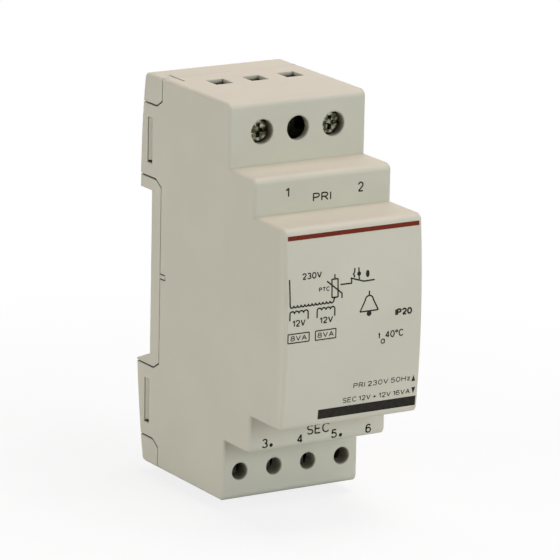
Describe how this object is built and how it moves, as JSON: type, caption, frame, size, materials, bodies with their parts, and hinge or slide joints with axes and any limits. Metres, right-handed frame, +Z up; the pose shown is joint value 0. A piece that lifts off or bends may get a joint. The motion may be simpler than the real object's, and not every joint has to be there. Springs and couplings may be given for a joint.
{
  "type": "din rail transformer",
  "caption": "Modular bell transformer for a mounting rail: stepped snap-together housing, EI core and bobbin inside, rising-cage screw terminals and a sliding rail clip.",
  "frame": {"origin": "middle of the rail seat, at half the panel's height", "axes": "+Z up along the device, +X across it, +Y from the front panel towards the rail"},
  "size_m": [0.035, 0.0651, 0.0931],
  "materials": {
    "housing_plastic": "fine matt moulded thermoplastic, warm light grey",
    "clip_plastic": "moulded thermoplastic",
    "core_steel": "varnished silicon steel laminations",
    "bobbin_plastic": "glass-filled polyamide",
    "copper_wire": "enamelled copper wire",
    "winding_tape": "polyester tape",
    "lead_insulation": "insulated hook-up wire",
    "ptc_lacquer": "lacquer-coated ceramic disc",
    "screw_steel": "zinc-plated steel",
    "cage_steel": "zinc-plated steel strip",
    "busbar_brass": "tinned brass strip"
  },
  "bodies": {
    "housing": {"front_cover": "housing_plastic", "rear_base": "housing_plastic", "e_core": "core_steel", "i_core": "core_steel", "bobbin": "bobbin_plastic", "primary_winding": "copper_wire", "secondary_winding_a": "copper_wire", "secondary_winding_b": "copper_wire", "primary_tape": "winding_tape", "secondary_tape": "winding_tape", "primary_lead_1": "lead_insulation", "ptc_thermistor": "ptc_lacquer", "secondary_lead_3": "lead_insulation", "secondary_lead_4": "lead_insulation", "secondary_lead_5": "lead_insulation", "secondary_lead_6": "lead_insulation", "primary_busbar_1": "busbar_brass", "primary_busbar_2": "busbar_brass", "secondary_busbar_3": "busbar_brass", "secondary_busbar_4": "busbar_brass", "secondary_busbar_5": "busbar_brass", "secondary_busbar_6": "busbar_brass"},
    "clip": {"rail_clip": "clip_plastic"},
    "screw_1": {"primary_screw_1": "screw_steel"},
    "cage_1": {"primary_cage_1": "cage_steel"},
    "screw_2": {"primary_screw_2": "screw_steel"},
    "cage_2": {"primary_cage_2": "cage_steel"},
    "screw_3": {"secondary_screw_3": "screw_steel"},
    "cage_3": {"secondary_cage_3": "cage_steel"},
    "screw_4": {"secondary_screw_4": "screw_steel"},
    "cage_4": {"secondary_cage_4": "cage_steel"},
    "screw_5": {"secondary_screw_5": "screw_steel"},
    "cage_5": {"secondary_cage_5": "cage_steel"},
    "screw_6": {"secondary_screw_6": "screw_steel"},
    "cage_6": {"secondary_cage_6": "cage_steel"}
  },
  "joints": [
    {"name": "clip_slide", "type": "slide", "parent": "housing", "child": "clip", "axis": [0, 0, -1], "range_m": [0, 0.0032]},
    {"name": "screw_1_turn", "type": "hinge", "parent": "housing", "child": "screw_1", "pos_m": [-0.00917, -0.03, 0.0385], "axis": [0, 1, 0], "range_deg": [0, 2160]},
    {"name": "cage_1_rise", "type": "slide", "parent": "housing", "child": "cage_1", "axis": [0, -1, 0], "range_m": [0, 0.0036]},
    {"name": "screw_2_turn", "type": "hinge", "parent": "housing", "child": "screw_2", "pos_m": [0.00917, -0.03, 0.0385], "axis": [0, 1, 0], "range_deg": [0, 2160]},
    {"name": "cage_2_rise", "type": "slide", "parent": "housing", "child": "cage_2", "axis": [0, -1, 0], "range_m": [0, 0.0036]},
    {"name": "screw_3_turn", "type": "hinge", "parent": "housing", "child": "screw_3", "pos_m": [-0.0133, -0.03, -0.0385], "axis": [0, 1, 0], "range_deg": [0, 2160]},
    {"name": "cage_3_rise", "type": "slide", "parent": "housing", "child": "cage_3", "axis": [0, -1, 0], "range_m": [0, 0.003]},
    {"name": "screw_4_turn", "type": "hinge", "parent": "housing", "child": "screw_4", "pos_m": [-0.00443, -0.03, -0.0385], "axis": [0, 1, 0], "range_deg": [0, 2160]},
    {"name": "cage_4_rise", "type": "slide", "parent": "housing", "child": "cage_4", "axis": [0, -1, 0], "range_m": [0, 0.003]},
    {"name": "screw_5_turn", "type": "hinge", "parent": "housing", "child": "screw_5", "pos_m": [0.00443, -0.03, -0.0385], "axis": [0, 1, 0], "range_deg": [0, 2160]},
    {"name": "cage_5_rise", "type": "slide", "parent": "housing", "child": "cage_5", "axis": [0, -1, 0], "range_m": [0, 0.003]},
    {"name": "screw_6_turn", "type": "hinge", "parent": "housing", "child": "screw_6", "pos_m": [0.0133, -0.03, -0.0385], "axis": [0, 1, 0], "range_deg": [0, 2160]},
    {"name": "cage_6_rise", "type": "slide", "parent": "housing", "child": "cage_6", "axis": [0, -1, 0], "range_m": [0, 0.003]}
  ],
  "couplings": [
    {"joint": "screw_1_turn", "follows": "cage_1_rise", "rad_per_m": 10472},
    {"joint": "screw_2_turn", "follows": "cage_2_rise", "rad_per_m": 10472},
    {"joint": "screw_3_turn", "follows": "cage_3_rise", "rad_per_m": 12566},
    {"joint": "screw_4_turn", "follows": "cage_4_rise", "rad_per_m": 12566},
    {"joint": "screw_5_turn", "follows": "cage_5_rise", "rad_per_m": 12566},
    {"joint": "screw_6_turn", "follows": "cage_6_rise", "rad_per_m": 12566}
  ]
}
